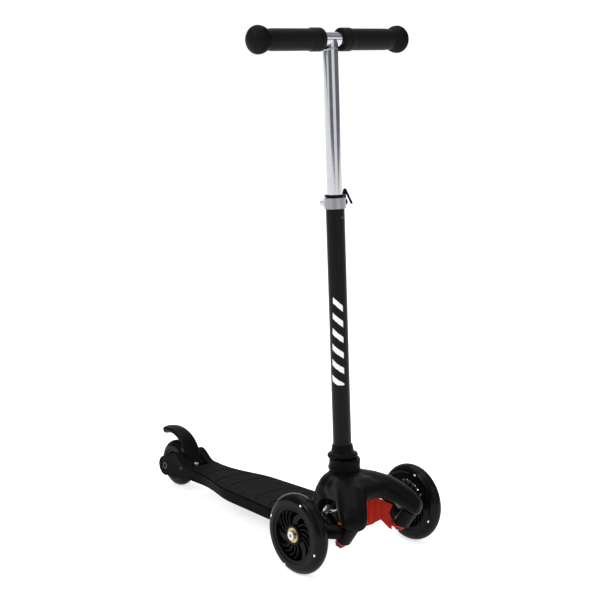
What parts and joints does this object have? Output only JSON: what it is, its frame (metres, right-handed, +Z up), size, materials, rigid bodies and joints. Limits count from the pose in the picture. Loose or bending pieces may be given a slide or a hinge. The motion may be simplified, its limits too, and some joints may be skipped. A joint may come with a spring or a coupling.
{
  "type": "kick scooter",
  "caption": "Children's lean-to-steer kick scooter with paired front wheels, tapered grooved deck, rear fender brake and a lift-out T-bar of adjustable height.",
  "frame": {"origin": "on the floor, in the middle of the whole object's length and width", "axes": "+Z up, the scooter drives towards -Y, its left side is +X"},
  "size_m": [0.3, 0.5807, 0.7887],
  "materials": {
    "black_plastic": "fine satin texture",
    "core_plastic": "satin",
    "red_bracket": "satin",
    "fastener_steel": "plated",
    "clamp_metal": "tumbled",
    "spring_steel": "drawn wire",
    "bearing_steel": "yellow zinc plated",
    "clear_tyre": "smoky clear, glossy",
    "rear_tyre": "smoky clear, glossy",
    "light_module": "clear block with a lamp",
    "tube_paint": "satin powder coat",
    "chrome": "polished",
    "grip_rubber": "soft, matt"
  },
  "bodies": {
    "chassis": {"deck": "black_plastic", "deck_screws": "fastener_steel", "head_housing": "black_plastic", "steering_bracket": "red_bracket", "bracket_screws": "fastener_steel", "kingpin_left": "fastener_steel", "kingpin_right": "fastener_steel", "centring_spring_left": "spring_steel", "centring_spring_right": "spring_steel", "rear_spacers": "fastener_steel", "rear_axle": "fastener_steel", "rear_axle_nut": "fastener_steel", "brake_pin": "fastener_steel", "brake_spring": "spring_steel", "lock_spring": "spring_steel"},
    "knuckle_left": {"knuckle_left": "black_plastic", "tie_pin_left": "fastener_steel", "front_axle_left": "fastener_steel", "front_spacers_left": "fastener_steel"},
    "knuckle_right": {"knuckle_right": "black_plastic", "tie_pin_right": "fastener_steel", "front_axle_right": "fastener_steel", "front_spacers_right": "fastener_steel"},
    "tie_rod": {"tie_rod": "fastener_steel"},
    "front_wheel_left": {"front_core_left": "core_plastic", "front_tyre_left": "clear_tyre", "front_bearings_left": "bearing_steel", "light_modules_left": "light_module"},
    "front_wheel_right": {"front_core_right": "core_plastic", "front_tyre_right": "clear_tyre", "front_bearings_right": "bearing_steel", "light_modules_right": "light_module"},
    "rear_wheel": {"rear_core": "core_plastic", "rear_tyre": "rear_tyre", "rear_bearings": "bearing_steel"},
    "brake": {"brake_fender": "black_plastic"},
    "stem": {"lower_tube": "tube_paint", "stem_skirt": "black_plastic", "guide_bush": "black_plastic", "clamp_ring": "clamp_metal", "clamp_bolt": "fastener_steel", "clamp_nut": "fastener_steel", "clamp_lever_pin": "fastener_steel"},
    "clamp_lever": {"clamp_lever": "black_plastic"},
    "snap_button": {"snap_button": "fastener_steel"},
    "handlebar": {"upper_tube": "chrome", "tube_plug": "black_plastic", "crossbar": "chrome", "grip_left": "grip_rubber", "grip_right": "grip_rubber"},
    "lock_button": {"lock_button": "black_plastic"}
  },
  "joints": [
    {"name": "steer_left", "type": "hinge", "parent": "chassis", "child": "knuckle_left", "pos_m": [0.06, -0.25584, 0.061], "axis": [0, -0.6018, 0.7986], "range_deg": [-15, 15], "stiffness_Nm_per_rad": 3},
    {"name": "steer_right", "type": "hinge", "parent": "chassis", "child": "knuckle_right", "pos_m": [-0.06, -0.25584, 0.061], "axis": [0, -0.6018, 0.7986], "range_deg": [-15, 15], "stiffness_Nm_per_rad": 3},
    {"name": "tie_rod_pivot", "type": "hinge", "parent": "knuckle_left", "child": "tie_rod", "pos_m": [0.06, -0.2122, 0.0845], "axis": [0, -0.6018, 0.7986], "range_deg": [-15, 15]},
    {"name": "front_wheel_left_spin", "type": "hinge", "parent": "knuckle_left", "child": "front_wheel_left", "pos_m": [0.115, -0.21035, 0.06], "axis": [1, 0, 0], "continuous": true},
    {"name": "front_wheel_right_spin", "type": "hinge", "parent": "knuckle_right", "child": "front_wheel_right", "pos_m": [-0.115, -0.21035, 0.06], "axis": [1, 0, 0], "continuous": true},
    {"name": "rear_wheel_spin", "type": "hinge", "parent": "chassis", "child": "rear_wheel", "pos_m": [0, 0.24965, 0.04], "axis": [1, 0, 0], "continuous": true},
    {"name": "brake_press", "type": "hinge", "parent": "chassis", "child": "brake", "pos_m": [0, 0.20166, 0.046], "axis": [-1, 0, 0], "range_deg": [0, 9.2], "stiffness_Nm_per_rad": 1, "springref_deg": -11.46},
    {"name": "stem_lift", "type": "slide", "parent": "chassis", "child": "stem", "axis": [0, 0.0523, 0.9986], "range_m": [0, 0.09]},
    {"name": "bar_height", "type": "slide", "parent": "stem", "child": "handlebar", "axis": [0, 0.0523, 0.9986], "range_m": [-0.15, 0]},
    {"name": "clamp_lever_turn", "type": "hinge", "parent": "stem", "child": "clamp_lever", "pos_m": [0.02532, -0.14941, 0.52997], "axis": [0.6428, 0.765, -0.0401], "range_deg": [0, 75]},
    {"name": "snap_button_press", "type": "slide", "parent": "stem", "child": "snap_button", "axis": [0, 0.9986, -0.0523], "range_m": [0, 0.001], "stiffness_N_per_m": 400, "springref_m": -0.002},
    {"name": "lock_button_press", "type": "slide", "parent": "chassis", "child": "lock_button", "axis": [0, -0.9986, 0.0523], "range_m": [0, 0.0025], "stiffness_N_per_m": 400, "springref_m": -0.002}
  ],
  "couplings": [
    {"joint": "steer_right", "follows": "steer_left", "ratio": 1},
    {"joint": "tie_rod_pivot", "follows": "steer_left", "ratio": -1}
  ]
}
